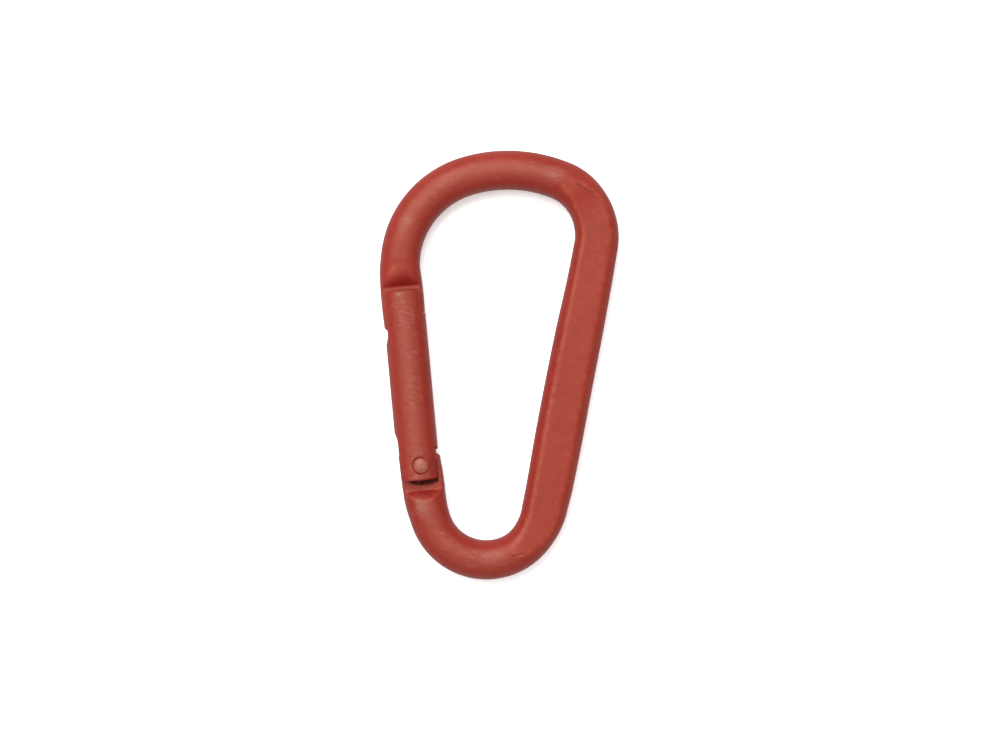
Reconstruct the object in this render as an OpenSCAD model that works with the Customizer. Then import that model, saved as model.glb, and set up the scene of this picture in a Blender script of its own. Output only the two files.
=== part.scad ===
// Spring-gate carabiner for keys: a bent round bar with a pressed-flat spine, closed by a
// sprung gate. It lies flat: +Y runs from the key end to the nose end, the gate is on -X,
// and Z is the thickness.

/* [Ring] */
// Overall length
ring_length = 80; // [76:0.5:100]
// Overall width
ring_width = 44; // [38:0.5:53]
// Diameter of the round bar
bar_d = 7.4; // [6:0.1:8.8]
// Centreline radius of the bend above the nose
nose_bend_r = 17.4; // [16:0.1:18.4]
// Centreline radius of the crown
crown_r = 25.9; // [25:0.1:28]
// Sideways place of the crown's centre
crown_x = 2; // [0:0.1:4]
// Centreline radius of the bend at the top of the spine
spine_bend_r = 11; // [9:0.1:12.5]
// Centreline radius of the bend at the key end
key_bend_r = 10.9; // [9.5:0.1:12]
// Sideways place of the key end bend's centre
key_bend_x = -0.4; // [-1.5:0.1:1]
// Centreline radius of the slow curve that leads up to the hinge
heel_r = 51.4; // [45:0.1:60]
// Angle round the key end bend at which the slow curve takes over
heel_turn = 21; // [15:0.5:27]

/* [Pressed spine] */
// Thickness between the two flats
spine_t = 5.4; // [4.8:0.1:5.8]
// Width across the spine's rounded sides
spine_w = 8.8; // [8:0.1:9.4]
// Radius of those rounded sides
spine_side_r = 3.15; // [3:0.05:3.25]
// How far each flat reaches round the bends past the straight spine
flat_turn = 38; // [30:1:44]
// Slope at which each flat fades out into the round bar
flat_fade = 9; // [7:0.5:12]
// How much sooner the flat starts to fade at the key end
key_fade_lead = 20; // [10:1:25]
// How far round the bends the rounded sides take to sink into the bar
side_fade = 68; // [55:1:75]

/* [Tangs] */
// Thickness of the nose tang and the hinge tang
tang_t = 3.3; // [2.8:0.1:3.6]
// Flat ledge between the gate's nose end and the nose ramp
nose_ledge = 0.9; // [0.7:0.1:1.5]
// Length of the nose ramp
nose_ramp = 4.3; // [3.5:0.1:5]
// Slope of the nose ramp where it leaves the round bar
nose_ramp_start = 8; // [5:1:15]
// Distance of the hinge ramp's foot from the rivet
hinge_ledge = 4.7; // [4.6:0.1:5.5]
// Length of the hinge ramp
hinge_ramp = 2; // [1.8:0.1:3]
// Slope of the hinge ramp where it leaves the round bar
hinge_ramp_start = 35; // [25:1:40]
// How far pressing spreads the nose tang inward
nose_spread = 0.2; // [0.1:0.05:0.3]
// How far pressing spreads the nose tang outward
nose_bulge = 0.3; // [0.1:0.05:0.4]
// How far pressing spreads the hinge tang inward
hinge_spread = 0.65; // [0.5:0.05:0.8]
// How far round the slow curve that spread runs
hinge_spread_turn = 6.5; // [5.5:0.1:8]
// Length of the nose tang inside the gate
nose_reach = 7.3; // [6.6:0.1:7.6]
// Rounding of the tangs' outer corners
tang_corner = 1.2; // [0.6:0.1:1.6]

/* [Gate] */
// Diameter of the gate
gate_d = 7.8; // [7.4:0.1:9.2]
// Gap on the bar's straight side left open past the gate's nose end
nose_gap = 3.1; // [2.4:0.1:4]
// Distance from the rivet to the gate's hinge end
hinge_overhang = 2.75; // [2.5:0.05:3]
// Bevel round the gate's two ends
gate_bevel = 0.3; // [0.2:0.05:0.5]
// Length of the nose slot on the outer side
nose_slot = 9.6; // [9.2:0.1:12]
// Length of the nose slot through the inner side
nose_slot_inner = 4.3; // [3.8:0.1:4.8]
// Wall left behind the nose slot, which stops the gate on the tang
stop_wall = 1; // [0.8:0.1:1.4]
// Depth of the hinge slot above the rivet, before its round end
hinge_slot = 4.5; // [4.4:0.1:5]
// Diameter of the blind bore for the plunger and spring
bore_d = 4.6; // [4.4:0.05:4.8]
// Distance from the rivet to the bore's blind end
bore_reach = 19.5; // [18:0.5:21]
// Drill point angle of the blind end
drill_angle = 118; // [90:1:135]

/* [Hinge] */
// Distance of the rivet past the point where the bar turns straight
hinge_drop = 1.5; // [0.5:0.1:2]
// How far the rivet sits inward of the gate's axis
rivet_inset = 0.55; // [0.3:0.05:0.7]
// Diameter of the rivet's shank
rivet_d = 2; // [1.8:0.1:2.4]
// Diameter of the rivet's domed heads
rivet_head_d = 3.1; // [2.9:0.1:3.4]
// Height of the heads above the gate's crest
rivet_proud = 0.25; // [0.15:0.05:0.35]
// Depth of the seat sunk into the gate under each head
seat_depth = 0.5; // [0.4:0.05:0.6]
// Largest opening of the gate
gate_open = 40; // [30:1:42]
// Height of the hinge tang's end above the rivet with the gate shut
cam_start = 2.6; // [2.5:0.05:2.7]
// Plunger travel per radian that the gate opens
cam_rate = 1.25; // [1:0.05:1.35]

/* [Plunger and spring] */
// Length of the plunger's head
plunger_head = 3.2; // [2.6:0.1:4]
// Length of the plunger's stem inside the spring
plunger_stem = 3.6; // [2.5:0.1:5]
// Diameter of the plunger's stem
stem_d = 2.4; // [2:0.1:2.6]
// Spring wire diameter
wire_d = 0.5; // [0.4:0.05:0.55]
// Number of turns in the spring
spring_turns = 11; // [9:1:13]

/* [Clearances] */
// Gap between a tang's face and its slot, each side
slot_clear = 0.15; // [0.1:0.05:0.25]
// Radial running clearance of the rivet in the hinge tang
rivet_clear = 0.05; // [0.02:0.01:0.08]
// Gap between the nose tang and the wall that stops it
stop_clear = 0.08; // [0.05:0.01:0.15]
// Radial running clearance of the plunger in the bore
plunger_clear = 0.08; // [0.05:0.01:0.1]
// Gap at each end face of the plunger and spring
seat_clear = 0.03; // [0.02:0.01:0.05]
// Radial gap between the spring and the bore
spring_clear = 0.15; // [0.1:0.05:0.2]
// Gap round the rivet heads in their seats
head_clear = 0.05; // [0.03:0.01:0.1]

/* [Hidden] */
$fn = 72;
bar_r = bar_d / 2;
gate_r = gate_d / 2;
mid_z = max(gate_r + rivet_proud, bar_r); // height of the ring's middle plane above the table
spine_half = max(spine_w / 2, bar_r); // from the spine's centreline to its outermost edge
room = 20; // reach of the cutting blocks past what they cut
seam = 0.02; // step in radius where a stretch of bar sleeves over the next
lap = 0.4; // length of that sleeve
over = 1; // reach of a sleeve or a cut past the place where it must end
closed_pitch = 1.15; // pitch of the spring's end turns, in wire diameters
paint = "#b04438";
steel = "#a9abad";

fade_swing = 13; // the fade's slope points this far round the bend from its foot

function dir(a) = [cos(a), sin(a)];
function angle_of(v) = atan2(v.y, v.x);

// Bend centres. Each bend's circle touches its neighbours' circles from inside.
bulge = spine_w / 2 - spine_side_r; // offset of each rounded side from the spine's middle
crown_c = [crown_x, ring_length / 2 - bar_r - crown_r];
nose_x = -ring_width / 2 + bar_r + nose_bend_r;
nose_c = [nose_x, crown_c.y + sqrt(pow(crown_r - nose_bend_r, 2) - pow(nose_x - crown_x, 2))];
spine_x = ring_width / 2 - spine_half - spine_bend_r;
spine_c = [spine_x, crown_c.y + sqrt(pow(crown_r - spine_bend_r, 2) - pow(spine_x - crown_x, 2))];
key_c = [key_bend_x, -ring_length / 2 + bar_r + key_bend_r];
heel_c = key_c + (heel_r - key_bend_r) * dir(heel_turn);

// Directions of the outward normal where one stretch hands over to the next
crown_to_nose = angle_of(nose_c - crown_c);
crown_to_spine = angle_of(spine_c - crown_c);
spine_n = angle_of(spine_c - key_c) - acos((key_bend_r - spine_bend_r) / norm(spine_c - key_c));
gate_n = angle_of(heel_c - nose_c) - acos((nose_bend_r - heel_r) / norm(heel_c - nose_c)) + 360;
gate_lean = gate_n - 180;

// The straight side that the gate closes, from the hinge to the nose
heel_end = heel_c + heel_r * dir(gate_n);
nose_start = nose_c + nose_bend_r * dir(gate_n);
side_length = norm(nose_start - heel_end);
rivet_at = heel_end - hinge_drop * dir(gate_n - 90) - rivet_inset * dir(gate_n);

// Heights along the gate, from the rivet towards the nose
side_top = hinge_drop + side_length;
gate_top = side_top - nose_gap;
nose_tip = gate_top - nose_reach;
stop_top = gate_top - nose_slot_inner; // upper end of the wall that stops the gate
slot_w = tang_t + 2 * slot_clear;
slot_round = gate_top - nose_slot + slot_w / 2; // centre of the nose slot's round end
nose_foot = gate_top + nose_ledge;

// The cam ends a little past the largest opening, and a straight flank runs on to the
// tang's inner corner, which swings furthest into the gate
cam_sweep = gate_open + 2;
cam_last = (cam_start + cam_rate * cam_sweep * PI / 180) * dir(90 - cam_sweep) + cam_rate * dir(-cam_sweep);
tang_inner = bar_r + hinge_spread - rivet_inset;
swing_r = norm([tang_inner, cam_last.y - (tang_inner - cam_last.x) * tan(cam_sweep)]) + 2 * slot_clear;

plunger_foot = cam_start + seat_clear;
spring_foot = plunger_foot + plunger_head + seat_clear;
spring_top = bore_reach - seat_clear;

// A stretch of tube round a bend, and a straight one between two points. A stretch with
// a lap reaches over its thinner neighbours.
module bend(centre, r, from, to, tube_r = bar_r, lap = 0) {
    turn = lap / r * 180 / PI;
    translate([centre.x, centre.y, mid_z]) rotate([0, 0, from - turn])
        rotate_extrude(angle = to - from + 2 * turn) translate([r, 0]) circle(r = tube_r);
}

module run(a, b, tube_r = bar_r, lap = 0)
    translate([a.x, a.y, mid_z]) rotate([0, 0, angle_of(b - a)]) rotate([0, 90, 0])
        translate([0, 0, -lap]) cylinder(r = tube_r, h = norm(b - a) + 2 * lap);

// Places things in the gate's own frame: x inward, y towards the nose, z up, from the rivet
module at_hinge()
    translate([rivet_at.x, rivet_at.y, mid_z]) rotate([0, 0, gate_lean]) children();

// A stretch of tube along the gate's side, in that frame
module side_run(x, from, to, tube_r)
    translate([x - rivet_inset, from, 0]) rotate([-90, 0, 0]) cylinder(r = tube_r, h = to - from);

// Does the same thing on the front face and on the back
module both_faces()
    for (side = [0, 1]) mirror([0, 0, side]) children();

// One rounded side of the pressed spine. It sinks into the bar round both bends.
module spine_side(out) {
    sunk = bar_r - spine_side_r - seam; // offset at which it is just inside the bar
    swing = (bulge - sunk) / (1 - cos(side_fade));
    mean = out * (bulge - swing);
    shift = out * swing * dir(spine_n);
    r = spine_side_r - seam;
    bend(spine_c + shift, spine_bend_r + mean, spine_n, spine_n + side_fade, r, lap / 2);
    bend(key_c + shift, key_bend_r + mean, spine_n - side_fade, spine_n, r, lap / 2);
    run(key_c + (key_bend_r + out * bulge) * dir(spine_n),
        spine_c + (spine_bend_r + out * bulge) * dir(spine_n), spine_side_r, lap * 1.5);
}

// The half space above a plane that starts at a flat's end and rises along the bend
module above_fade(centre, r, turn, way) {
    foot = centre + r * dir(turn);
    rise = turn + way * (90 + fade_swing);
    translate([foot.x, foot.y, spine_t / 2]) rotate([0, 0, rise]) rotate([0, -flat_fade, 0])
        translate([-3 * room, -3 * room, 0]) cube([6 * room, 6 * room, 2 * room]);
}

// What the press takes off the spine's front, measured up from the middle plane
module spine_press() {
    middle = (key_c + spine_c) / 2;
    intersection() {
        translate([middle.x, middle.y, 0]) rotate([0, 0, spine_n])
            translate([0, -ring_length, spine_t / 2]) cube([2 * room, 2 * ring_length, bar_d]);
        above_fade(spine_c, spine_bend_r, spine_n + flat_turn, 1);
        above_fade(key_c, key_bend_r, spine_n - flat_turn + key_fade_lead, -1);
    }
}

// What the press takes off one tang's front, from its edge to the top of a rounded ramp
module tang_press(foot, ramp, start_slope, way, reach) {
    drop = (bar_d - tang_t) / 2;
    end_slope = 2 * atan(drop / ramp) - start_slope;
    r = ramp / (sin(end_slope) - sin(start_slope));
    axis_y = foot + way * r * sin(end_slope);
    axis_z = tang_t / 2 - r * cos(end_slope);
    past = ramp + 2 * over; // reach of the cut past the ramp's foot
    difference() {
        translate([-room / 2, way > 0 ? foot - reach : foot - past, tang_t / 2])
            cube([room, reach + past, bar_d]);
        translate([-room, axis_y, axis_z]) rotate([0, 90, 0]) cylinder(r = r, h = 2 * room);
    }
}

// Outline of the hinge tang's end: a flat that holds the gate shut, then an involute cam
// that lifts the plunger by the same amount for every degree
module hinge_end() {
    steps = 12;
    outer = seam - bar_r - rivet_inset;
    round = [for (a = [180 : -15 : 90])
        [outer + tang_corner, cam_start - tang_corner] + tang_corner * dir(a)];
    cam = [for (i = [0 : steps]) let (a = i * cam_sweep / steps, lift = cam_start + cam_rate * a * PI / 180)
        lift * dir(90 - a) + cam_rate * dir(-a)];
    polygon(concat([[-room, -room], [-room, cam_start - tang_corner]], round, cam,
        [cam_last + room * dir(-cam_sweep)], [[cam_last.x + room, -room]]));
}

module frame() color(paint) difference() {
    thin = bar_r - seam;
    union() {
        bend(nose_c, nose_bend_r, crown_to_nose, gate_n, thin);
        bend(crown_c, crown_r, crown_to_spine, crown_to_nose, bar_r, lap);
        bend(spine_c, spine_bend_r, spine_n, crown_to_spine, thin);
        run(key_c + key_bend_r * dir(spine_n), spine_c + spine_bend_r * dir(spine_n), bar_r, lap);
        bend(key_c, key_bend_r, heel_turn - 180, spine_n, thin);
        bend(heel_c, heel_r, gate_n, heel_turn + 180, bar_r, lap);
        for (out = [-1, 1]) spine_side(out);
        at_hinge() {
            side_run(0, nose_tip, side_top + lap, bar_r);
            side_run(nose_spread, nose_tip, nose_foot + nose_ramp / 2, thin);
            side_run(-nose_bulge, nose_tip, nose_foot + nose_ramp / 2, thin - seam);
            side_run(0, hinge_drop, cam_start + over, thin);
            side_run(hinge_spread, hinge_drop, cam_start + over, thin - seam);
        }
        bend(heel_c, heel_r - hinge_spread, gate_n, gate_n + hinge_spread_turn, thin, lap / 2);
    }
    translate([0, 0, mid_z]) both_faces() spine_press();
    at_hinge() {
        both_faces() {
            tang_press(nose_foot, nose_ramp, nose_ramp_start, 1, nose_foot - nose_tip + over);
            tang_press(-hinge_ledge, hinge_ramp, hinge_ramp_start, -1, hinge_ledge + cam_start + 2 * over);
        }
        nose_trim();
        linear_extrude(height = bar_d, center = true) difference() {
            translate([-room / 2, -cam_start]) square([room, room / 2]);
            hinge_end();
        }
        cylinder(d = rivet_d + 2 * rivet_clear, h = bar_d, center = true);
    }
}

// Cuts the nose tang back behind the wall that stops the gate, and rounds its outer corner
module nose_trim() {
    translate([gate_r - stop_wall - stop_clear - rivet_inset, nose_tip - over, -bar_r])
        cube([room, stop_top - nose_tip + over + 2 * slot_clear, bar_d]);
    translate([-bar_r - rivet_inset - nose_bulge, nose_tip, 0])
        linear_extrude(height = bar_d, center = true) difference() {
            translate([-over, -over]) square(tang_corner + over);
            translate([tang_corner, tang_corner]) circle(r = tang_corner);
        }
}

module gate() color(paint) at_hinge() difference() {
    translate([-rivet_inset, 0, 0]) rotate([-90, 0, 0]) {
        translate([0, 0, -hinge_overhang]) cylinder(r1 = gate_r - gate_bevel, r2 = gate_r, h = gate_bevel);
        translate([0, 0, gate_bevel - hinge_overhang])
            cylinder(r = gate_r, h = gate_top + hinge_overhang - 2 * gate_bevel);
        translate([0, 0, gate_top - gate_bevel])
            cylinder(r1 = gate_r, r2 = gate_r - gate_bevel, h = gate_bevel);
    }
    // nose slot: milled from the outer side down to the stop wall, then through its end
    translate([-room, slot_round, -slot_w / 2])
        cube([room + gate_r - stop_wall - rivet_inset, room, slot_w]);
    translate([-room, slot_round, 0]) rotate([0, 90, 0])
        cylinder(d = slot_w, h = room + gate_r - stop_wall - rivet_inset);
    translate([0, stop_top, -slot_w / 2]) cube([room, room, slot_w]);
    // hinge slot: through both sides, with a round end on the outer side, and on the inner
    // side one that clears the tang's swing
    translate([-room, -room, -slot_w / 2]) cube([room, room + hinge_slot, slot_w]);
    translate([0, -room, -slot_w / 2]) cube([room, room, slot_w]);
    cylinder(r = swing_r, h = slot_w, center = true);
    translate([-room, hinge_slot, 0]) rotate([0, 90, 0]) cylinder(d = slot_w, h = room - rivet_inset);
    // blind bore with its drill point
    translate([-rivet_inset, -room, 0]) rotate([-90, 0, 0]) {
        cylinder(d = bore_d, h = room + bore_reach);
        translate([0, 0, room + bore_reach])
            cylinder(r1 = bore_d / 2, r2 = 0, h = bore_d / 2 / tan(drill_angle / 2));
    }
    cylinder(d = rivet_d, h = 2 * gate_d, center = true);
    both_faces() translate([0, 0, gate_r - seat_depth])
        cylinder(d = rivet_head_d + 2 * head_clear, h = gate_d);
}

module hinge_rivet() color(paint) at_hinge() {
    crown = rivet_proud + seat_depth / 2; // height of the dome above its rim
    rim = gate_r + rivet_proud - crown;
    dome_r = (pow(rivet_head_d / 2, 2) + pow(crown, 2)) / (2 * crown);
    cylinder(d = rivet_d, h = 2 * (gate_r - seat_depth), center = true);
    both_faces() intersection() {
        translate([0, 0, gate_r - seat_depth]) cylinder(d = rivet_head_d, h = gate_d);
        translate([0, 0, rim + crown - dome_r]) sphere(r = dome_r);
    }
}

module plunger() color(steel) at_hinge()
    translate([-rivet_inset, plunger_foot, 0]) rotate([-90, 0, 0]) {
        cylinder(d = bore_d - 2 * plunger_clear, h = plunger_head);
        translate([0, 0, plunger_head]) cylinder(d = stem_d, h = plunger_stem);
    }

// Compression spring: closed end turns and open ones between
module spring() color(steel) at_hinge() translate([-rivet_inset, 0, 0]) {
    turn_steps = 20;
    sides = 8;
    coil_r = bore_d / 2 - spring_clear - wire_d / 2;
    closed = wire_d * closed_pitch;
    low = spring_foot + wire_d / 2;
    high = spring_top - wire_d / 2;
    open = (high - low - 2 * closed) / (spring_turns - 2); // pitch of the others
    rings = spring_turns * turn_steps;
    rise = function (t) t < 1 ? closed * t
        : t > spring_turns - 1 ? high - low - closed * (spring_turns - t)
        : closed + open * (t - 1);
    points = [for (i = [0 : rings]) let (t = i / turn_steps, a = 360 * t)
        for (j = [0 : sides - 1]) let (r = coil_r + wire_d / 2 * cos(360 * j / sides))
            [r * cos(a), low + rise(t) + wire_d / 2 * sin(360 * j / sides), r * sin(a)]];
    walls = [for (i = [0 : rings - 1]) for (j = [0 : sides - 1]) let (k = (j + 1) % sides)
        for (tri = [[i * sides + j, i * sides + k, (i + 1) * sides + j],
                    [i * sides + k, (i + 1) * sides + k, (i + 1) * sides + j]]) tri];
    first = [for (j = [sides - 1 : -1 : 0]) j];
    last = [for (j = [0 : sides - 1]) rings * sides + j];
    polyhedron(points, concat(walls, [first, last]));
}

frame();
gate();
hinge_rivet();
plunger();
spring();
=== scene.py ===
import math

import bmesh
import bpy
from mathutils import Matrix, Vector


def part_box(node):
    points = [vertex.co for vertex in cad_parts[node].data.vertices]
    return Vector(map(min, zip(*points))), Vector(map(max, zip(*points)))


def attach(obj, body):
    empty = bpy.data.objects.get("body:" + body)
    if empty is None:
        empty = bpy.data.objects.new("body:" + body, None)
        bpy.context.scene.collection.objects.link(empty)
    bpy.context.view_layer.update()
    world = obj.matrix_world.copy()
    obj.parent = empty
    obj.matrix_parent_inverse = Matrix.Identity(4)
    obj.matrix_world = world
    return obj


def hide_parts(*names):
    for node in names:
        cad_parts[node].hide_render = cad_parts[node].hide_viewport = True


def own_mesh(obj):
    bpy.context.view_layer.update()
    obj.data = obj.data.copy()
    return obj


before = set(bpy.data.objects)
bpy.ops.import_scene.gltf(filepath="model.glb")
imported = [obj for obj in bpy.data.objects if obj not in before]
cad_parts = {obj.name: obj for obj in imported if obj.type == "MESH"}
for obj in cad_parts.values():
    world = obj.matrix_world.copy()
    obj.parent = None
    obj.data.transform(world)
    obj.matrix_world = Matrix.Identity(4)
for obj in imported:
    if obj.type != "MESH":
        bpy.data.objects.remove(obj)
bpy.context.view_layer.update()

# Spring-gate carabiner for keys, lying flat on a pale table. The key end points to -Y and
# the gate is on -X. Sizes below are in millimetres, and each mesh is scaled to metres last.
toMetres = 0.001


def direction(degrees):
    return Vector((math.cos(math.radians(degrees)), math.sin(math.radians(degrees)), 0))


def angleOf(v):
    return math.degrees(math.atan2(v.y, v.x))


def clamp(value, low=0.0, high=1.0):
    return max(low, min(high, value))


def ease(t):
    t = clamp(t)
    return t * t * (3 - 2 * t)


def softMin(a, b, width):
    h = max(width - abs(a - b), 0) / width
    return min(a, b) - h * h * width / 4


def softMax(a, b, width):
    return -softMin(-a, -b, width)


# value at a place along a list of (place, value), on a smooth curve through them
def readCurve(points, at):
    if at <= points[0][0]:
        return points[0][1]
    for i in range(len(points) - 1):
        (x1, y1), (x2, y2) = points[i], points[i + 1]
        if at <= x2:
            y0 = points[max(i - 1, 0)][1]
            y3 = points[min(i + 2, len(points) - 1)][1]
            t = (at - x1) / (x2 - x1)
            return 0.5 * (2 * y1 + (y2 - y0) * t + (2 * y0 - 5 * y1 + 4 * y2 - y3) * t ** 2
                          + (3 * y1 - y0 - 3 * y2 + y3) * t ** 3)
    return points[-1][1]


def makePiece(name, bm, material, body, node=None):
    bmesh.ops.scale(bm, vec=(toMetres,) * 3, verts=bm.verts)
    bmesh.ops.recalc_face_normals(bm, faces=bm.faces)
    mesh = bpy.data.meshes.new(name)
    bm.to_mesh(mesh)
    bm.free()
    mesh.polygons.foreach_set("use_smooth", [True] * len(mesh.polygons))
    piece = bpy.data.objects.new(name, mesh)
    bpy.context.scene.collection.objects.link(piece)
    mesh.materials.append(material)
    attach(piece, body)
    if node:
        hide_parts(node)
    print(f"{name}: {len(mesh.polygons)} faces")
    return piece


view = {
    "lookAt": (1.04, 0.01, 4.15),    # mm
    "height": 500,                   # mm above that point
    "width": 186.3,                  # mm of the ring's middle plane across the picture
    "roll": 2.5,                     # degrees
}


def placeCamera(v):
    data = bpy.data.cameras.new("camera")
    data.sensor_width = 36
    data.lens = data.sensor_width * v["height"] / v["width"]
    data.clip_start, data.clip_end = 0.01, 10
    camera = bpy.data.objects.new("camera", data)
    bpy.context.scene.collection.objects.link(camera)
    spot = Vector(v["lookAt"]) + Vector((0, 0, v["height"]))
    camera.location = spot * toMetres
    camera.rotation_euler = (0, 0, math.radians(v["roll"]))
    bpy.context.scene.camera = camera


light = {
    "world": 0.84,
    "keySize": 0.66,       # metres
    "keyPower": 8.0,
    "keyAt": (-0.22, 0.34, 0.60),
    "topSize": 0.5,
    "topPower": 1.4,
    "topAt": (0.02, 0.03, 0.75),
    "floor": 0.94,
    "glow": 0.16,
}


def addSoftbox(name, at, size, power):
    data = bpy.data.lights.new(name, "AREA")
    data.shape, data.size, data.energy = "SQUARE", size, power
    lamp = bpy.data.objects.new(name, data)
    lamp.location = at
    lamp.rotation_euler = (-Vector(at)).to_track_quat("-Z", "Y").to_euler()
    bpy.context.scene.collection.objects.link(lamp)


def lightTable(s):
    scene = bpy.context.scene
    scene.view_settings.view_transform = "Standard"
    world = bpy.data.worlds.new("studio")
    world.use_nodes = True
    backdrop = world.node_tree.nodes["Background"]
    backdrop.inputs["Color"].default_value = (1, 0.995, 0.985, 1)
    backdrop.inputs["Strength"].default_value = s["world"]
    scene.world = world
    addSoftbox("keySoftbox", s["keyAt"], s["keySize"], s["keyPower"])
    addSoftbox("topSoftbox", s["topAt"], s["topSize"], s["topPower"])
    bm = bmesh.new()
    bmesh.ops.create_grid(bm, x_segments=2, y_segments=2, size=1.5)
    mesh = bpy.data.meshes.new("tableTop")
    bm.to_mesh(mesh)
    bm.free()
    table = bpy.data.objects.new("tableTop", mesh)
    bpy.context.scene.collection.objects.link(table)
    mesh.materials.append(tableSheet(s["floor"], s["glow"]))
    table.visible_glossy = False     # the paint mirrors the studio, and not the bright sheet


def tableSheet(tone, glow):
    material = bpy.data.materials.new("tableSheet")
    material.use_nodes = True
    nodes, links = material.node_tree.nodes, material.node_tree.links
    shader = nodes["Principled BSDF"]
    shader.inputs["Roughness"].default_value = 0.9
    shader.inputs["Specular IOR Level"].default_value = 0.1
    shader.inputs["Emission Color"].default_value = (1, 1, 1, 1)
    shader.inputs["Emission Strength"].default_value = glow
    coords = nodes.new("ShaderNodeTexCoord")
    grain = nodes.new("ShaderNodeTexNoise")
    grain.inputs["Scale"].default_value = 30
    ramp = nodes.new("ShaderNodeValToRGB")
    ramp.color_ramp.elements[0].color = (tone * 0.99, tone * 0.99, tone * 0.985, 1)
    ramp.color_ramp.elements[1].color = (tone, tone, tone, 1)
    links.new(coords.outputs["Object"], grain.inputs["Vector"])
    links.new(grain.outputs["Fac"], ramp.inputs["Fac"])
    links.new(ramp.outputs["Color"], shader.inputs["Base Color"])
    return material


# red satin paint, linear colours
paint = {
    "base": (0.180, 0.0100, 0.0055),
    "warm": (0.192, 0.0145, 0.0075),   # where the coat is a little thinner
    "deep": (0.163, 0.0075, 0.0045),
    "edge": (0.235, 0.038, 0.022),     # rubbed edges
    "speck": (0.27, 0.11, 0.06),
    "scuffedSheen": (0.190, 0.048, 0.034),  # duller, lighter crests: scuffs, and partly a painted highlight
    # lighter scratches on the crests, partly a painted glint
    "scratchGlint": (0.255, 0.105, 0.078),
    "creaseShade": (0.140, 0.0012, 0.0008),   # painted shade in the creases of the tangs' ramps
    # near-black painted shadow in the gaps at the gate's ends, also dark cracks in the paint
    "crackAndGapShadow": (0.030, 0.0015, 0.0012),
    "bare": (0.225, 0.105, 0.073),       # rubbed through to the primer
    "roughness": (0.38, 0.50),
    "gloss": 0.28,
    "glossTint": (1.0, 0.86, 0.66, 1),
    "orangePeel": 0.10,
    "grain": 0.22,
}


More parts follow.
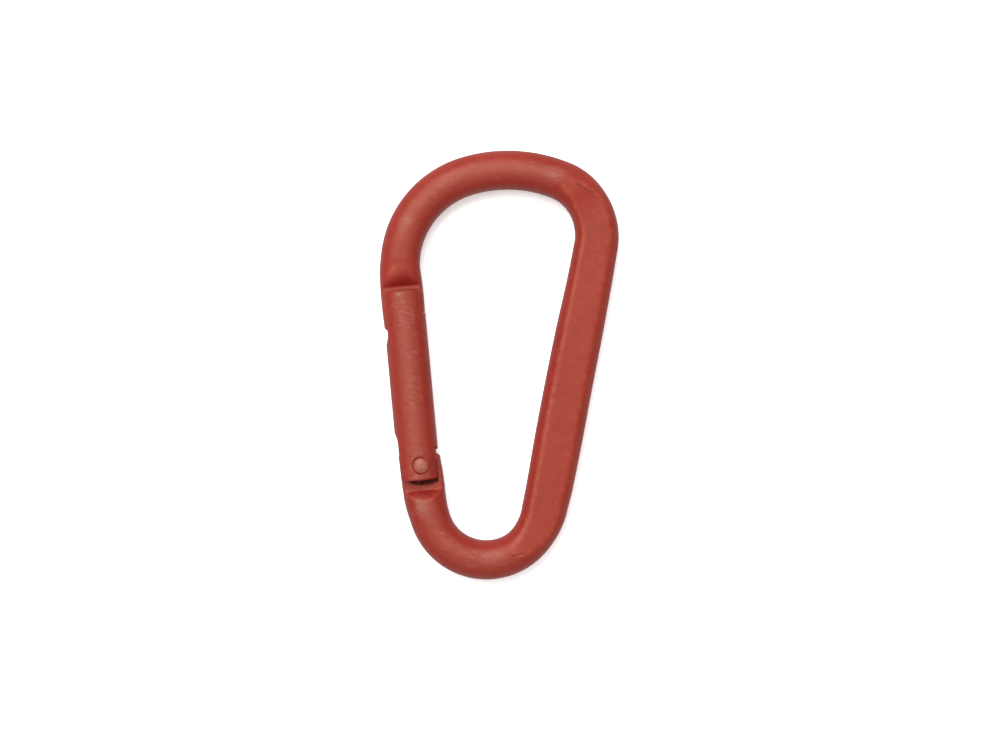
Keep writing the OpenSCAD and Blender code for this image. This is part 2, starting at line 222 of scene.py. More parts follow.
def satinPaint(name, s, shift):
    material = bpy.data.materials.new(name)
    material.use_nodes = True
    nodes, links = material.node_tree.nodes, material.node_tree.links
    shader = nodes["Principled BSDF"]
    coords = nodes.new("ShaderNodeTexCoord")
    place = nodes.new("ShaderNodeMapping")
    place.inputs["Location"].default_value = shift
    links.new(coords.outputs["Object"], place.inputs["Vector"])

    def noise(scale, detail=2.0, roughness=0.5, lay=None):
        n = nodes.new("ShaderNodeTexNoise")
        n.inputs["Scale"].default_value = scale
        n.inputs["Detail"].default_value = detail
        n.inputs["Roughness"].default_value = roughness
        if lay:
            turned = nodes.new("ShaderNodeMapping")
            turned.inputs["Rotation"].default_value = (0, 0, math.radians(32))
            turned.inputs["Scale"].default_value = lay
            links.new(place.outputs["Vector"], turned.inputs["Vector"])
            links.new(turned.outputs["Vector"], n.inputs["Vector"])
        else:
            links.new(place.outputs["Vector"], n.inputs["Vector"])
        return n.outputs["Fac"]

    def spread(value, low, high, toLow=0.0, toHigh=1.0):
        n = nodes.new("ShaderNodeMapRange")
        n.inputs["From Min"].default_value = low
        n.inputs["From Max"].default_value = high
        n.inputs["To Min"].default_value = toLow
        n.inputs["To Max"].default_value = toHigh
        links.new(value, n.inputs["Value"])
        return n.outputs["Result"]

    def times(a, b):
        n = nodes.new("ShaderNodeMath")
        n.operation = "MULTIPLY"
        links.new(a, n.inputs[0])
        if isinstance(b, float):
            n.inputs[1].default_value = b
        else:
            links.new(b, n.inputs[1])
        return n.outputs["Value"]

    def mix(amount, a, b):
        n = nodes.new("ShaderNodeMix")
        n.data_type = "RGBA"
        links.new(amount, n.inputs["Factor"])
        for socket, value in (("A", a), ("B", b)):
            target = [i for i in n.inputs if i.name == socket and i.type == "RGBA"][0]
            if isinstance(value, tuple):
                target.default_value = (*value, 1)
            else:
                links.new(value, target)
        return [o for o in n.outputs if o.type == "RGBA"][0]

    def attribute(label):
        n = nodes.new("ShaderNodeAttribute")
        n.attribute_name = label
        return n.outputs["Fac"]

    drift = spread(noise(90, 3), 0.35, 0.65)               # slow change of tone, about a centimetre
    mottle = spread(noise(700, 3, 0.6), 0.38, 0.62)        # fine mottling
    specks = spread(noise(2600, 1), 0.70, 0.76)            # dust in the coat
    wear = attribute("edgeWear")
    broken = times(wear, spread(noise(900, 3, 0.7), 0.35, 0.62))
    colour = mix(drift, s["deep"], s["base"])
    colour = mix(times(mottle, 0.55), colour, s["warm"])
    colour = mix(times(broken, 0.75), colour, s["edge"])
    colour = mix(times(specks, 0.35), colour, s["speck"])
    # crests get a duller, lighter colour and lighter scratches: scuffs, and partly a painted highlight
    streaks = spread(noise(1500, 5, 0.75, lay=(0.4, 1.3, 1)), 0.50, 0.70)
    scuffedSheen = times(attribute("crestScuffsAndSheen"), times(streaks, spread(noise(110, 3), 0.44, 0.66, 0.25, 1.0)))
    colour = mix(times(attribute("crestScuffsAndSheen"), 0.30), colour, s["scuffedSheen"])
    colour = mix(times(scuffedSheen, 0.6), colour, s["scratchGlint"])
    patchy = spread(noise(1500, 5, 0.7, lay=(0.6, 1.2, 1)), 0.34, 0.64)
    colour = mix(times(attribute("rubbed"), patchy), colour, s["bare"])
    # painted shade in the creases of the tangs' ramps
    colour = mix(times(attribute("creaseShade"), 0.9), colour, s["creaseShade"])
    # near-black painted shadow under the gate's ends, and dark paint cracks, broken up in blobs
    blobs = spread(noise(1500, 2), 0.68, 0.58)
    colour = mix(times(attribute("crackAndGapShadow"), blobs), colour, s["crackAndGapShadow"])
    links.new(colour, shader.inputs["Base Color"])
    low, high = s["roughness"]
    rough = spread(noise(420, 4, 0.6), 0.3, 0.7, low, high)
    dull = nodes.new("ShaderNodeMath")
    dull.operation, dull.use_clamp = "MULTIPLY_ADD", True
    links.new(attribute("creaseShade"), dull.inputs[0])
    dull.inputs[1].default_value = 0.35
    links.new(rough, dull.inputs[2])
    roughInGapsAndCracks = nodes.new("ShaderNodeMath")
    roughInGapsAndCracks.operation, roughInGapsAndCracks.use_clamp = "MULTIPLY_ADD", True
    links.new(attribute("crackAndGapShadow"), roughInGapsAndCracks.inputs[0])
    roughInGapsAndCracks.inputs[1].default_value = 0.5
    links.new(dull.outputs["Value"], roughInGapsAndCracks.inputs[2])
    links.new(roughInGapsAndCracks.outputs["Value"], shader.inputs["Roughness"])
    shader.inputs["Specular IOR Level"].default_value = s["gloss"]
    shader.inputs["Specular Tint"].default_value = s["glossTint"]
    # bump: a slow orange peel, then the grain of the coat, then pinholes
    peel = nodes.new("ShaderNodeBump")
    peel.inputs["Strength"].default_value = s["orangePeel"]
    peel.inputs["Distance"].default_value = 0.0003
    links.new(noise(650, 2), peel.inputs["Height"])
    grain = nodes.new("ShaderNodeBump")
    grain.inputs["Strength"].default_value = s["grain"]
    grain.inputs["Distance"].default_value = 0.00006
    links.new(noise(3200, 3, 0.6), grain.inputs["Height"])
    links.new(peel.outputs["Normal"], grain.inputs["Normal"])
    holes = nodes.new("ShaderNodeTexVoronoi")
    holes.inputs["Scale"].default_value = 260
    links.new(place.outputs["Vector"], holes.inputs["Vector"])
    pinhole = nodes.new("ShaderNodeBump")
    pinhole.inputs["Strength"].default_value = 0.5
    pinhole.inputs["Distance"].default_value = 0.00008
    links.new(spread(holes.outputs["Distance"], 0.0, 0.05), pinhole.inputs["Height"])
    links.new(grain.outputs["Normal"], pinhole.inputs["Normal"])
    links.new(pinhole.outputs["Normal"], shader.inputs["Normal"])
    return material


steel = {"bright": (0.62, 0.61, 0.60), "dull": (0.42, 0.41, 0.40), "roughness": (0.22, 0.42)}


def bareSteel(name, s, scratchScale):
    material = bpy.data.materials.new(name)
    material.use_nodes = True
    nodes, links = material.node_tree.nodes, material.node_tree.links
    shader = nodes["Principled BSDF"]
    shader.inputs["Metallic"].default_value = 1
    coords = nodes.new("ShaderNodeTexCoord")
    streaks = nodes.new("ShaderNodeTexNoise")
    streaks.inputs["Scale"].default_value = scratchScale
    streaks.inputs["Detail"].default_value = 4
    ramp = nodes.new("ShaderNodeValToRGB")
    ramp.color_ramp.elements[0].color = (*s["dull"], 1)
    ramp.color_ramp.elements[1].color = (*s["bright"], 1)
    rough = nodes.new("ShaderNodeMapRange")
    rough.inputs["To Min"].default_value, rough.inputs["To Max"].default_value = s["roughness"]
    bump = nodes.new("ShaderNodeBump")
    bump.inputs["Strength"].default_value = 0.15
    bump.inputs["Distance"].default_value = 0.00005
    links.new(coords.outputs["Object"], streaks.inputs["Vector"])
    links.new(streaks.outputs["Fac"], ramp.inputs["Fac"])
    links.new(streaks.outputs["Fac"], rough.inputs["Value"])
    links.new(streaks.outputs["Fac"], bump.inputs["Height"])
    links.new(ramp.outputs["Color"], shader.inputs["Base Color"])
    links.new(rough.outputs["Result"], shader.inputs["Roughness"])
    links.new(bump.outputs["Normal"], shader.inputs["Normal"])
    return material


rivetLow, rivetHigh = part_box("hinge_rivet")
rivetAt = (rivetLow + rivetHigh) / 2 / toMetres

ring = {
    "length": 80,
    "width": 44,
    "barDiameter": 7.4,
    "noseBendRadius": 17.4,
    "crownRadius": 25.9,
    "crownX": 2,
    "spineBendRadius": 11,
    "keyBendRadius": 10.9,
    "keyBendX": -0.4,
    "heelRadius": 51.4,
    "heelTurn": 21,
    "spineWidth": 8.8,
    "rivetInset": 0.55,      # the rivet sits this far inward of the gate's axis
    "hingeDrop": 1.5,        # and this far below the heel's end
    "noseGap": 3.1,          # straight bar left bare past the gate
    "noseReach": 7.3,        # nose tang inside the gate
    "noseLedge": 0.9,
    "noseSlotInner": 4.3,    # the nose slot's depth on the inner side
    "noseStopGap": 0.03,
}


# centres and hand-over directions of the ring's bends, each touching its neighbours
def layOutRing(s):
    r = s["barDiameter"] / 2
    crownC = Vector((s["crownX"], s["length"] / 2 - r - s["crownRadius"], 0))
    noseX = -s["width"] / 2 + r + s["noseBendRadius"]
    noseR = s["crownRadius"] - s["noseBendRadius"]
    noseC = Vector((noseX, crownC.y + math.sqrt(noseR ** 2 - (noseX - crownC.x) ** 2), 0))
    spineX = s["width"] / 2 - s["spineWidth"] / 2 - s["spineBendRadius"]
    spineR = s["crownRadius"] - s["spineBendRadius"]
    spineC = Vector((spineX, crownC.y + math.sqrt(spineR ** 2 - (spineX - crownC.x) ** 2), 0))
    keyC = Vector((s["keyBendX"], -s["length"] / 2 + r + s["keyBendRadius"], 0))
    heelC = keyC + (s["heelRadius"] - s["keyBendRadius"]) * direction(s["heelTurn"])
    upSpine, upGate = spineC - keyC, heelC - noseC
    spineN = angleOf(upSpine) - math.degrees(
        math.acos((s["keyBendRadius"] - s["spineBendRadius"]) / upSpine.length))
    gateN = angleOf(upGate) - math.degrees(
        math.acos((s["noseBendRadius"] - s["heelRadius"]) / upGate.length)) + 360
    sideLength = (noseC + s["noseBendRadius"] * direction(gateN)
                  - heelC - s["heelRadius"] * direction(gateN)).length
    gateTop = s["hingeDrop"] + sideLength - s["noseGap"]
    return {
        "crownC": crownC, "noseC": noseC, "spineC": spineC, "keyC": keyC, "heelC": heelC,
        "spineN": spineN, "gateN": gateN,
        "crownToNose": angleOf(noseC - crownC), "crownToSpine": angleOf(spineC - crownC),
        "sideTop": s["hingeDrop"] + sideLength, "noseTip": gateTop - s["noseReach"],
        "gateTop": gateTop, "noseFoot": gateTop + s["noseLedge"],
        "noseStop": gateTop - s["noseSlotInner"] + s["noseStopGap"],
    }


path = layOutRing(ring)
gateLean = path["gateN"] - 180
# from the gate's own frame (x inward, y towards the nose, z up, from the rivet) to the ring's
gateFrame = Matrix.Translation(rivetAt) @ Matrix.Rotation(math.radians(gateLean), 4, "Z")
intoGateFrame = gateFrame.inverted()
midZ = rivetAt.z
print(f"rivet at {rivetAt.x:.3f} {rivetAt.y:.3f} {rivetAt.z:.3f}, gate leans {gateLean:.3f} degrees")

bar = {
    "sides": 112,
    "camStart": 2.6,
    "camRate": 1.25,
    "camSweep": 42,
    "camReach": 3.5,         # the end's shape fades out over this
    "tangCorner": 1.2,
    "tangThickness": 3.3,
    "tipLength": 4,          # the nose tang's corner and cut-back lie within this
    "noseRamp": (4.3, 8),    # length, and slope in degrees at its top
    "hingeFoot": -4.7,
    "hingeRamp": (2.0, 35),
    "noseStopWidth": 2.72,   # inner half width where the tang is cut back behind the gate's stop
    "flat": 5.4,             # thickness between the spine's flats
    "flatTurn": 38,
    "keyFadeLead": 20,
    "flatFade": 9,
    "fadeSwing": 13,
    "spineHeight": 3.40,     # half height of the spine's oval before the press cuts it
    "edgeSoftness": 0.34,
    "rampSoftness": 1.9,     # extra rounding at the top of the nose ramp
    "capBevel": 0.22,
    "gateEnd": -2.75,        # painted shadow sits under the gate's hinge end, and this far out of it
    "gapShadowReach": 1.15,
    # rubbed patches on the front: x, y, size and strength
    "rubbedSpots": [(-12.7, -26.8, 2.8, 0.6), (-18.3, 25.8, 1.9, 0.35), (9.9, 36.3, 2.6, 0.35),
                    (1.1, -35.1, 3.0, 0.25), (-11.7, 35.4, 1.6, 0.25)],
    "cracks": [((13.8, 34.1), (16.6, 32.7)), ((4.7, -35.2), (7.1, -34.5))],  # creased paint
    "holeRadius": 1.05,
    # half widths of the bar, outer then inner, by stretch and share of its length
    "widths": [
        ("side", 0.00, 3.98, 3.74), ("side", 0.35, 4.06, 3.86), ("side", 0.70, 4.08, 3.88),
        ("side", 1.00, 3.96, 3.74), ("nose", 0.12, 3.76, 3.60), ("nose", 0.35, 3.77, 3.58),
        ("nose", 0.75, 3.75, 3.60), ("crown", 0.50, 3.72, 3.60), ("spineBend", 0.00, 3.78, 3.58),
        ("spineBend", 0.12, 3.92, 3.56), ("spineBend", 0.30, 4.08, 3.58),
        ("spineBend", 0.50, 4.20, 3.62), ("spineBend", 0.70, 4.36, 3.68),
        ("spineBend", 0.90, 4.52, 3.66), ("spine", 0.10, 4.66, 3.68), ("spine", 0.21, 4.71, 3.85),
        ("spine", 0.33, 4.73, 4.08), ("spine", 0.50, 4.66, 4.22), ("spine", 0.72, 4.65, 4.27),
        ("spine", 0.90, 4.53, 4.16), ("spine", 1.00, 4.23, 4.18), ("key", 0.05, 4.03, 4.13),
        ("key", 0.13, 3.81, 4.06), ("key", 0.21, 3.73, 3.90), ("key", 0.29, 3.75, 3.72),
        ("key", 0.38, 3.74, 3.63), ("key", 0.60, 3.74, 3.60), ("key", 0.86, 3.73, 3.60),
        ("heel", 0.08, 3.75, 3.72), ("heel", 0.23, 3.80, 3.86), ("heel", 0.38, 3.78, 4.06),
        ("heel", 0.53, 3.66, 4.25), ("heel", 0.76, 3.54, 4.33), ("heel", 0.98, 3.52, 4.24),
        ("hinge", 1.00, 3.55, 4.20),
    ],
}


# place of the hinge tang's end along the gate, from the rivet, at a place across it
def hingeEnd(x, s):
    corner, start, rate = s["tangCorner"], s["camStart"], s["camRate"]
    left = corner - ring["barDiameter"] / 2 - ring["rivetInset"]
    if x < left:
        return start - corner + math.sqrt(max(corner ** 2 - (x - left) ** 2, 0))
    if x <= rate:
        return start
    px, py = rate, start
    for a in range(1, s["camSweep"] + 1):
        t = math.radians(a)
        lift = start + rate * t
        qx = lift * math.sin(t) + rate * math.cos(t)
        qy = lift * math.cos(t) - rate * math.sin(t)
        if x <= qx:
            return py + (qy - py) * (x - px) / (qx - px)
        px, py = qx, qy
    return py - (x - px) * math.tan(math.radians(s["camSweep"]))


# height of a tang's pressed face, with a rounded ramp up to the full bar
def tangFace(y, foot, ramp, way, s):
    length, topSlope = ramp
    low, high = s["tangThickness"] / 2, ring["barDiameter"] / 2
    t = way * (y - foot)
    if t <= 0:
        return low
    footSlope = 2 * math.degrees(math.atan((high - low) / length)) - topSlope
    r = length / (math.sin(math.radians(footSlope)) - math.sin(math.radians(topSlope)))
    axisY = r * math.sin(math.radians(footSlope))
    axisZ = low - r * math.cos(math.radians(footSlope))
    t = min(t, length)
    return axisZ + math.sqrt(r * r - (t - axisY) ** 2) + 0.3 * max(way * (y - foot) - length, 0)


# height of the press on the spine, which fades out round both bends
def spineFace(p, s):
    heights = [s["flat"] / 2]
    ends = ((path["spineC"], ring["spineBendRadius"], path["spineN"] + s["flatTurn"], 1),
            (path["keyC"], ring["keyBendRadius"],
             path["spineN"] - s["flatTurn"] + s["keyFadeLead"], -1))
    for centre, r, turn, way in ends:
        foot = centre + r * direction(turn)
        rise = (p - foot).dot(direction(turn + way * (90 + s["fadeSwing"])))
        heights.append(s["flat"] / 2 + rise * math.tan(math.radians(s["flatFade"])))
    return softMax(softMax(heights[0], heights[1], 0.35), heights[2], 0.35)


def buildBar(s):
    r = ring["barDiameter"] / 2
    bm = bmesh.new()
    along, across, height, facing, wear, crestScuffsAndSheen, rubbed, creaseShade, crackAndGapShadow = (
        bm.verts.layers.float.new(n) for n in ("along", "across", "height", "facing", "edgeWear",
                                               "crestScuffsAndSheen", "rubbed", "creaseShade", "crackAndGapShadow"))
    gateOut = direction(path["gateN"])
    gateUp = direction(path["gateN"] - 90)
    onAxis = Vector((rivetAt.x, rivetAt.y, 0)) + ring["rivetInset"] * gateOut
    start = onAxis + path["noseTip"] * gateUp
    turned = Matrix((gateOut, Vector((0, 0, 1)), gateUp)).transposed().to_4x4()
    circle = bmesh.ops.create_circle(
        bm, segments=s["sides"], radius=r,
        matrix=Matrix.Translation(start + Vector((0, 0, midZ))) @ turned)["verts"]
    for v in circle:
        v[across] = (v.co - start).dot(gateOut)
        v[height] = v.co.z - midZ
        v[facing] = path["gateN"]
    loop = list({e for v in circle for e in v.link_edges})
    firstLoop = list(loop)
    travelled, stations = 0.0, {}

    def mark(geom, facingNow):
        for v in geom:
            if isinstance(v, bmesh.types.BMVert):
                v[along], v[facing] = travelled, facingNow
        return [e for e in geom if isinstance(e, bmesh.types.BMEdge)]

    # stretches in order: name, length or bend centre and its two directions, ring spacing
    stretches = [
        ("side", None, path["sideTop"] - path["noseTip"], path["gateN"], path["gateN"], 0.22),
        ("nose", path["noseC"], ring["noseBendRadius"], path["gateN"], path["crownToNose"], 0.34),
        ("crown", path["crownC"], ring["crownRadius"], path["crownToNose"], path["crownToSpine"], 0.45),
        ("spineBend", path["spineC"], ring["spineBendRadius"], path["crownToSpine"], path["spineN"], 0.30),
        ("spine", None, (path["spineC"] - path["keyC"]).length, path["spineN"], path["spineN"], 0.45),
        ("key", path["keyC"], ring["keyBendRadius"], path["spineN"], ring["heelTurn"] - 180, 0.32),
        ("heel", path["heelC"], ring["heelRadius"], ring["heelTurn"] - 180, path["gateN"] - 360, 0.28),
        ("hinge", None, s["camStart"] - ring["hingeDrop"], path["gateN"], path["gateN"], 0.16),
    ]
    for name, centre, size, begin, end, spacing in stretches:
        if centre is None:
            length, turn = size, 0
        else:
            length, turn = size * math.radians(abs(end - begin)), math.radians(end - begin)
        steps = round(length / spacing)
        stations[name] = (travelled, length)
        base = travelled
        for i in range(steps):
            travelled = base + length * (i + 1) / steps
            if centre is None:
                geom = bmesh.ops.extrude_edge_only(bm, edges=loop)["geom"]
                bmesh.ops.translate(
                    bm, vec=length / steps * direction(begin - 90),
                    verts=[v for v in geom if isinstance(v, bmesh.types.BMVert)])
            else:
                geom = bmesh.ops.spin(
                    bm, geom=loop, cent=centre, axis=(0, 0, 1), dvec=(0, 0, 0),
                    angle=turn / steps, steps=1, use_duplicate=False)["geom_last"]
            loop = mark(geom, begin + (end - begin) * (i + 1) / steps)
    lastLoop = loop
    print(f"bar swept over {travelled:.1f} mm")

    # widths, the press and the tangs, point by point
    outer, inner = [], []
    for name, share, wide, narrow in s["widths"]:
        at = stations[name][0] + share * stations[name][1]
        outer.append((at, wide))
        inner.append((at, narrow))
    spineFrom, spineTo = stations["spineBend"][0], stations["key"][0] + stations["key"][1]
    ovalFrom, ovalTo = stations["spine"][0], stations["key"][0]
    for v in bm.verts:
        at, o, z = v[along], v[across], v[height]
        out = direction(v[facing])
        wide = readCurve(outer, at) if o > 0 else readCurve(inner, at)
        tall = r + (s["spineHeight"] - r) * ease(1 - max(ovalFrom - at, at - ovalTo, 0) / 9)
        moved = o * wide / r
        face, soft = 10.0, s["edgeSoftness"]
        spot = v.co + out * (moved - o)
        if spineFrom < at < spineTo:
            face = spineFace(Vector((spot.x, spot.y, 0)), s)
        local = intoGateFrame @ spot
        if at < stations["nose"][0] + 12:
            face = tangFace(local.y, path["noseFoot"], s["noseRamp"], 1, s)
            soft += s["rampSoftness"] * ease((local.y - path["noseFoot"]) / s["noseRamp"][0] * 1.1)
            if at < s["tipLength"]:
                cut = ease((path["noseStop"] - local.y) / 0.1 + 0.5)
                if o < 0:
                    moved *= 1 + cut * (s["noseStopWidth"] / readCurve(inner, at) - 1)
        if at > stations["hinge"][0] - 10:
            face = tangFace(local.y, s["hingeFoot"], s["hingeRamp"], -1, s)
        tallZ = abs(z) * tall / r
        pressed = softMin(tallZ, face, soft)
        if face < r:
            v[wear] = clamp(1 - abs(tallZ - face) / 0.4)
        # scuffs and a painted highlight along the crests, stronger on the heel
        onCrest = ease((tallZ / r - 0.76) / 0.2)
        heelScuffSheen = ease((at - stations["heel"][0]) / 6)
        v[crestScuffsAndSheen] = onCrest * ease((face - r + 0.1) / 0.5) * (0.8 + 0.8 * heelScuffSheen)
        if z > 0:
            for a, b in s["cracks"]:
                a, b = Vector(a), Vector(b)
                near = clamp((spot.xy - a).dot(b - a) / (b - a).length_squared)
                v[crackAndGapShadow] = max(v[crackAndGapShadow], 0.5 * ease(1.2 - (spot.xy - a.lerp(b, near)).length / 0.22))
            for px, py, size, amount in s["rubbedSpots"]:
                d = math.hypot(spot.x - px, spot.y - py) / size
                v[rubbed] = max(v[rubbed], amount * onCrest * ease(1.1 - d))
        if local.x < 8 and abs(z) > 0.5:
            # painted shade darkens both tangs' ramps towards their creases
            for foot, way, reach in ((path["noseFoot"], 1, 5.6), (s["hingeFoot"], -1, 1.9)):
                t = way * (local.y - foot)
                spill = ease(1 - abs(local.x - 0.3) / 3.9)
                if t > 0:
                    v[creaseShade] = max(v[creaseShade], ease(1 - t / reach / (0.25 + 0.75 * spill)) * spill)
                    v[wear] *= ease(t / 2 - 0.6) if way > 0 else 0.5
            # painted shadow under the gate's hinge end and beside its ear
            below = s["gateEnd"] - local.y
            if below < 2 and at > stations["heel"][0]:
                deep = s["gapShadowReach"] * math.sqrt(max(1 - ((local.x - 0.5) / 3.1) ** 2, 0))
                v[crackAndGapShadow] = ease((deep - below) / 0.3) * ease((below + 1) / 0.5)
                besideEar = (ease(1.2 - abs(local.x - 2.95) / 0.2) * ease((1.3 - local.y) / 0.3)
                             * ease(1.3 - below / 0.3))
                v[crackAndGapShadow] = max(v[crackAndGapShadow] * ease((3.15 - local.x) / 0.3), 0.8 * besideEar)
            # painted shadow in the thin gap under the gate's nose end
            sliver = abs(local.y - path["gateTop"] - 0.05) / 0.3
            v[crackAndGapShadow] = max(v[crackAndGapShadow], 0.5 * ease(1 - sliver) * ease(1.3 - abs(local.x - 0.4) / 2))
        v.co += out * (moved - o)
        v.co.z = midZ + math.copysign(pressed, z)
    # round the nose tang's outer corner, and shape the hinge tang's end to its cam
    corner = s["tangCorner"]
    for v in bm.verts:
        if v[along] < s["tipLength"]:
            o = -(intoGateFrame @ v.co).x - ring["rivetInset"] - (outer[0][1] - corner)
            if o > 0:
                back = corner - math.sqrt(max(corner ** 2 - o ** 2, 0))
                v.co += gateUp * back * (1 - v[along] / s["tipLength"])
        if v[along] > travelled - s["camReach"]:
            share = 1 - (travelled - v[along]) / s["camReach"]
            x = (intoGateFrame @ v.co).x
            v.co -= gateUp * (s["camStart"] - hingeEnd(x, s)) * share
    for edges in (firstLoop, lastLoop):
        capEnd(bm, edges, s["capBevel"])
    drillTang(bm, s)
    return bm


# closes an end with strips from its front edge to its back edge
def capEnd(bm, edges, rounding):
    front = [e for e in edges if all(v.co.z > midZ + 0.05 for v in e.verts)]
    back = [e for e in edges if all(v.co.z < midZ - 0.05 for v in e.verts)]
    bmesh.ops.bridge_loops(bm, edges=front + back)
    bmesh.ops.holes_fill(bm, edges=[e for e in bm.edges if e.is_boundary], sides=8)
    rim = [e for e in edges if e.is_valid]
    bmesh.ops.bevel(bm, geom=rim, offset=rounding, offset_type="OFFSET", segments=3, profile=0.5,
                    affect="EDGES", material=-1, clamp_overlap=True)


# the rivet's hole through the hinge tang
def drillTang(bm, s):
    gone, rings = [], []
    for f in bm.faces:
        p = intoGateFrame @ f.calc_center_median()
        if math.hypot(p.x, p.y) < s["holeRadius"] + 0.12 and abs(p.z) > 1.0:
            gone.append(f)
    bmesh.ops.delete(bm, geom=gone, context="FACES")
    edges = [e for e in bm.edges if e.is_boundary
             and (intoGateFrame @ e.verts[0].co).xy.length < 2 * s["holeRadius"]]
    print(f"rivet hole rim: {len(edges)} edges")
    for v in {v for e in edges for v in e.verts}:
        p = intoGateFrame @ v.co
        k = s["holeRadius"] / math.hypot(p.x, p.y)
        v.co = gateFrame @ Vector((p.x * k, p.y * k, p.z))
    bmesh.ops.bridge_loops(bm, edges=edges)


gate = {
    "radius": 3.9,
    "voxel": 0.15,
    "smoothing": 4,
    "endCorner": 1.3,        # rounding of the inner corners at both ends, seen from the front
    "slotHalf": 1.83,
    "slotFrom": 3.5,
    "slotWall": 4.32,        # the slot's wall, from the rivet
    "slotCloser": 0.26,
    "pimples": [(-1.6, 27.2, 0.30, 0.05), (0.9, 19.4, 0.22, 0.04), (-0.4, 8.2, 0.26, 0.05),
                (1.6, 30.4, 0.25, 0.05), (-2.2, 13.8, 0.20, 0.04)],
    "rubbedSpots": [(-1.1, 32.0, 1.1, 0.8), (-0.7, 30.6, 0.7, 0.35)],
}


def buildGate(s):
    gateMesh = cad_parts["gate"].data.copy()
    bm = bmesh.new()
    bm.from_mesh(gateMesh)
    bmesh.ops.scale(bm, vec=(1 / toMetres,) * 3, verts=bm.verts)
    bmesh.ops.remove_doubles(bm, verts=bm.verts, dist=0.0005)
    bmesh.ops.transform(bm, matrix=intoGateFrame, verts=bm.verts)
    low, high = (min(v.co.y for v in bm.verts), max(v.co.y for v in bm.verts))
    bm.to_mesh(gateMesh)
    bm.free()
    draft = bpy.data.objects.new("gateDraft", gateMesh)
    bpy.context.scene.collection.objects.link(draft)
    remesh = draft.modifiers.new("fine", "REMESH")
    remesh.mode, remesh.voxel_size = "VOXEL", s["voxel"]
    graph = bpy.context.evaluated_depsgraph_get()
    fine = bpy.data.meshes.new_from_object(draft.evaluated_get(graph))
    bpy.data.objects.remove(draft)
    bm = bmesh.new()
    bm.from_mesh(fine)
    wear, crestScuffsAndSheen, rubbed = (bm.verts.layers.float.new(n) for n in ("edgeWear", "crestScuffsAndSheen", "rubbed"))
    before = {v.index: v.co.copy() for v in bm.verts}
    for i in range(s["smoothing"]):
        bmesh.ops.smooth_vert(bm, verts=bm.verts, factor=0.5,
                              use_axis_x=True, use_axis_y=True, use_axis_z=True)
    bm.verts.index_update()
    for v in bm.verts:
        v[wear] = clamp((v.co - before[v.index]).length / 0.06 - 0.35)
        # the turned skin goes back to its true radius
        x, z = v.co.x + ring["rivetInset"], v.co.z
        radius = math.hypot(x, z)
        short = s["radius"] - radius
        if short < 0.14:
            true = s["radius"] if short < 0.045 else radius + 0.045 * (0.14 - short) / 0.095
            v.co.x, v.co.z = x * true / radius - ring["rivetInset"], z * true / radius
        # the wall above the hinge slot closes in on the tang's corner
        fromRivet = v.co.xy.length
        if (abs(v.co.z) < s["slotHalf"] and v.co.x > 1.5 and v.co.y > 0
                and s["slotFrom"] < fromRivet < s["slotWall"] + 0.1):
            share = min((fromRivet - s["slotFrom"]) / (s["slotWall"] - s["slotFrom"]), 1)
            k = 1 - s["slotCloser"] * share / fromRivet
            v.co.x, v.co.y = v.co.x * k, v.co.y * k
        # inner corners of both ends
        for end, way in ((high, 1), (low, -1)):
            into = s["endCorner"] - way * (end - v.co.y)
            limit = s["radius"] - ring["rivetInset"]
            if into > 0:
                limit -= s["endCorner"] - math.sqrt(max(s["endCorner"] ** 2 - into ** 2, 0))
            if v.co.x > limit:
                v.co.x = limit
        # the gate's crests get scuffs and a painted highlight
        v[crestScuffsAndSheen] = ease((abs(v.co.z) / s["radius"] - 0.76) / 0.2)
        for px, py, size, amount in s["rubbedSpots"]:
            if v.co.z > 1:
                d = math.hypot(v.co.x - px, (v.co.y - py) * 1.3) / size
                v[rubbed] = max(v[rubbed], amount * ease(1 - d))
        for px, py, size, tall in s["pimples"]:
            if v.co.z > 1:
                d = math.hypot(v.co.x - px, v.co.y - py) / size
                v.co.z += tall * ease(1 - d / 1.6)
    bmesh.ops.transform(bm, matrix=gateFrame, verts=bm.verts)
    return bm


rivet = {"headRadius": 1.55, "shankRadius": 1.0, "domeHeight": 0.47,
         "seat": 3.42, "steps": 72}


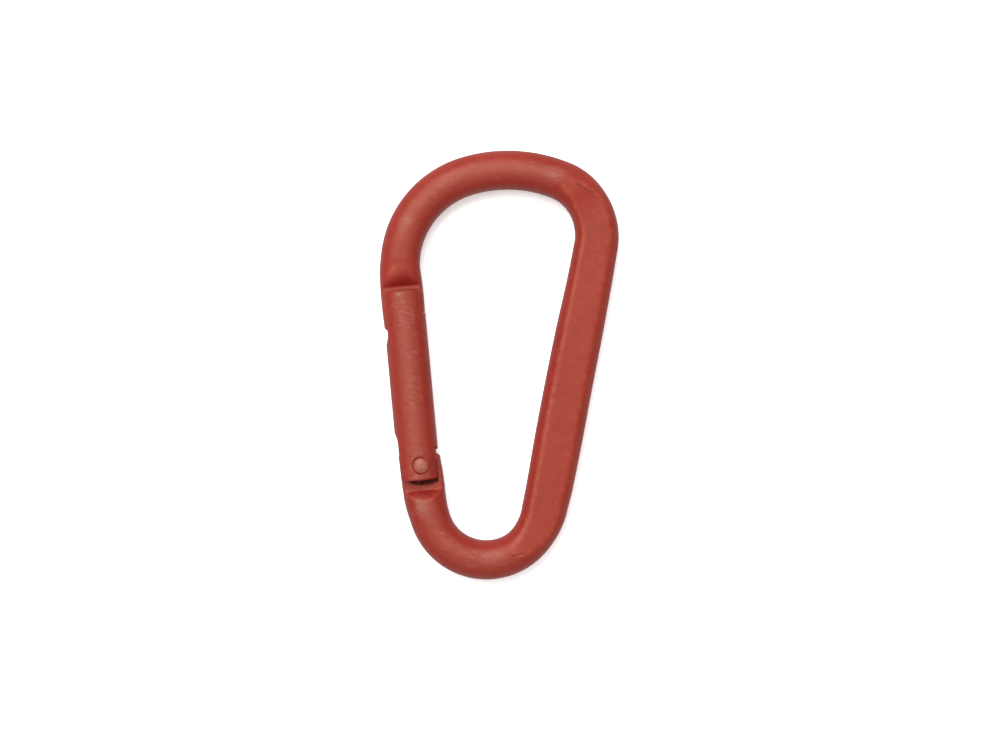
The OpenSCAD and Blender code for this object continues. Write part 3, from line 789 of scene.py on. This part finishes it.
def buildRivet(s):
    bm = bmesh.new()
    crest = rivetHigh.z / toMetres - midZ
    rimZ = crest - s["domeHeight"]
    dome = (s["headRadius"] ** 2 + s["domeHeight"] ** 2) / (2 * s["domeHeight"])
    outline = [(0, crest)]
    for i in range(1, 9):
        x = s["headRadius"] * i / 8
        outline.append((x, crest - dome + math.sqrt(dome ** 2 - x ** 2)))
    outline += [(s["headRadius"], rimZ - 0.12), (s["headRadius"] - 0.05, s["seat"]),
                (s["shankRadius"], s["seat"]), (s["shankRadius"], 0)]
    half = [Vector((x, 0, z)) for x, z in outline]
    full = half + [Vector((p.x, 0, -p.z)) for p in reversed(half[:-1])]
    verts = [bm.verts.new(p) for p in full]
    edges = [bm.edges.new(pair) for pair in zip(verts, verts[1:])]
    bmesh.ops.spin(bm, geom=verts + edges, cent=(0, 0, 0), axis=(0, 0, 1), dvec=(0, 0, 0),
                   angle=2 * math.pi, steps=s["steps"], use_merge=True)
    bmesh.ops.remove_doubles(bm, verts=bm.verts, dist=0.001)
    crestScuffsAndSheen, rubbed = (bm.verts.layers.float.new(n) for n in ("crestScuffsAndSheen", "rubbed"))
    for v in bm.verts:
        radius = math.hypot(v.co.x, v.co.y)
        # the head's top gets the crests' scuffs and painted highlight
        v[crestScuffsAndSheen] = ease((1.5 - radius) / 0.3)
        v[rubbed] = 0.75 * ease((1.45 - radius) / 0.5)
        # the punch left a small dent off the middle of the front head
        d = math.hypot(v.co.x - 0.25, v.co.y + 0.05)
        if v.co.z > 3:
            v.co.z -= 0.09 * ease(1 - d / 0.35)
    bmesh.ops.transform(bm, matrix=gateFrame, verts=bm.verts)
    return bm


plunger = {"clearance": 0.08, "boreRadius": 2.3, "stemRadius": 1.2, "bevel": 0.2}
spring = {"wire": 0.5, "turns": 11, "steps": 24, "sides": 10, "radius": 1.9, "closedPitch": 0.575}


# place along the gate of a node's two ends
def endsAlongGate(node):
    along = [(intoGateFrame @ (v.co / toMetres)).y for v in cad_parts[node].data.vertices]
    return min(along), max(along)


def buildPlunger(s):
    low, high = endsAlongGate("plunger")
    shoulder = low + 3.2
    radius = s["boreRadius"] - s["clearance"]
    outline = [(0, low), (radius - s["bevel"], low), (radius, low + s["bevel"]),
               (radius, shoulder - s["bevel"]), (radius - s["bevel"], shoulder),
               (s["stemRadius"], shoulder), (s["stemRadius"], high - s["bevel"]),
               (s["stemRadius"] - s["bevel"], high), (0, high)]
    bm = bmesh.new()
    verts = [bm.verts.new((x, y, 0)) for x, y in outline]
    edges = [bm.edges.new(pair) for pair in zip(verts, verts[1:])]
    bmesh.ops.spin(bm, geom=verts + edges, cent=(0, 0, 0), axis=(0, 1, 0), dvec=(0, 0, 0),
                   angle=2 * math.pi, steps=64, use_merge=True)
    bmesh.ops.remove_doubles(bm, verts=bm.verts, dist=0.001)
    bmesh.ops.translate(bm, vec=(-ring["rivetInset"], 0, 0), verts=bm.verts)
    bmesh.ops.transform(bm, matrix=gateFrame, verts=bm.verts)
    return bm


def buildSpring(s):
    low, high = endsAlongGate("spring")
    low, high = low + s["wire"] / 2, high - s["wire"] / 2
    openPitch = (high - low - 2 * s["closedPitch"]) / (s["turns"] - 2)
    bm = bmesh.new()
    wire = bmesh.ops.create_circle(
        bm, segments=s["sides"], radius=s["wire"] / 2, cap_ends=True,
        matrix=Matrix.Translation((s["radius"], low, 0)))["verts"]
    loop = list({e for v in wire for e in v.link_edges})
    for turns, pitch in ((1, s["closedPitch"]), (s["turns"] - 2, openPitch), (1, s["closedPitch"])):
        steps = turns * s["steps"]
        geom = bmesh.ops.spin(bm, geom=loop, cent=(0, 0, 0), axis=(0, 1, 0),
                              dvec=(0, pitch / s["steps"], 0), angle=2 * math.pi * turns,
                              steps=steps, use_duplicate=False)["geom_last"]
        loop = [e for e in geom if isinstance(e, bmesh.types.BMEdge)]
    bmesh.ops.holes_fill(bm, edges=[e for e in bm.edges if e.is_boundary], sides=0)
    bmesh.ops.translate(bm, vec=(-ring["rivetInset"], 0, 0), verts=bm.verts)
    bmesh.ops.transform(bm, matrix=gateFrame, verts=bm.verts)
    return bm, high + s["wire"] / 2, low - s["wire"] / 2


placeCamera(view)
lightTable(light)
print("camera and light placed")

barPaint = satinPaint("barPaint", paint, (0.01, 0.02, 0.0))
gatePaint = satinPaint("gatePaint", paint, (0.13, 0.07, 0.03))
rivetPaint = satinPaint("rivetPaint", paint, (0.31, 0.11, 0.05))
plungerSteel = bareSteel("plungerSteel", steel, 900)
springSteel = bareSteel("springSteel", steel, 1400)

makePiece("carabinerBar", buildBar(bar), barPaint, "frame", "frame")
makePiece("springGate", buildGate(gate), gatePaint, "gate", "gate")
makePiece("hingeRivetHeads", buildRivet(rivet), rivetPaint, "gate", "hinge_rivet")
makePiece("gatePlunger", buildPlunger(plunger), plungerSteel, "plunger", "plunger")
springMesh, springTop, springFoot = buildSpring(spring)
coil = makePiece("gateSpring", springMesh, springSteel, "gate", "spring")
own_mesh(coil)
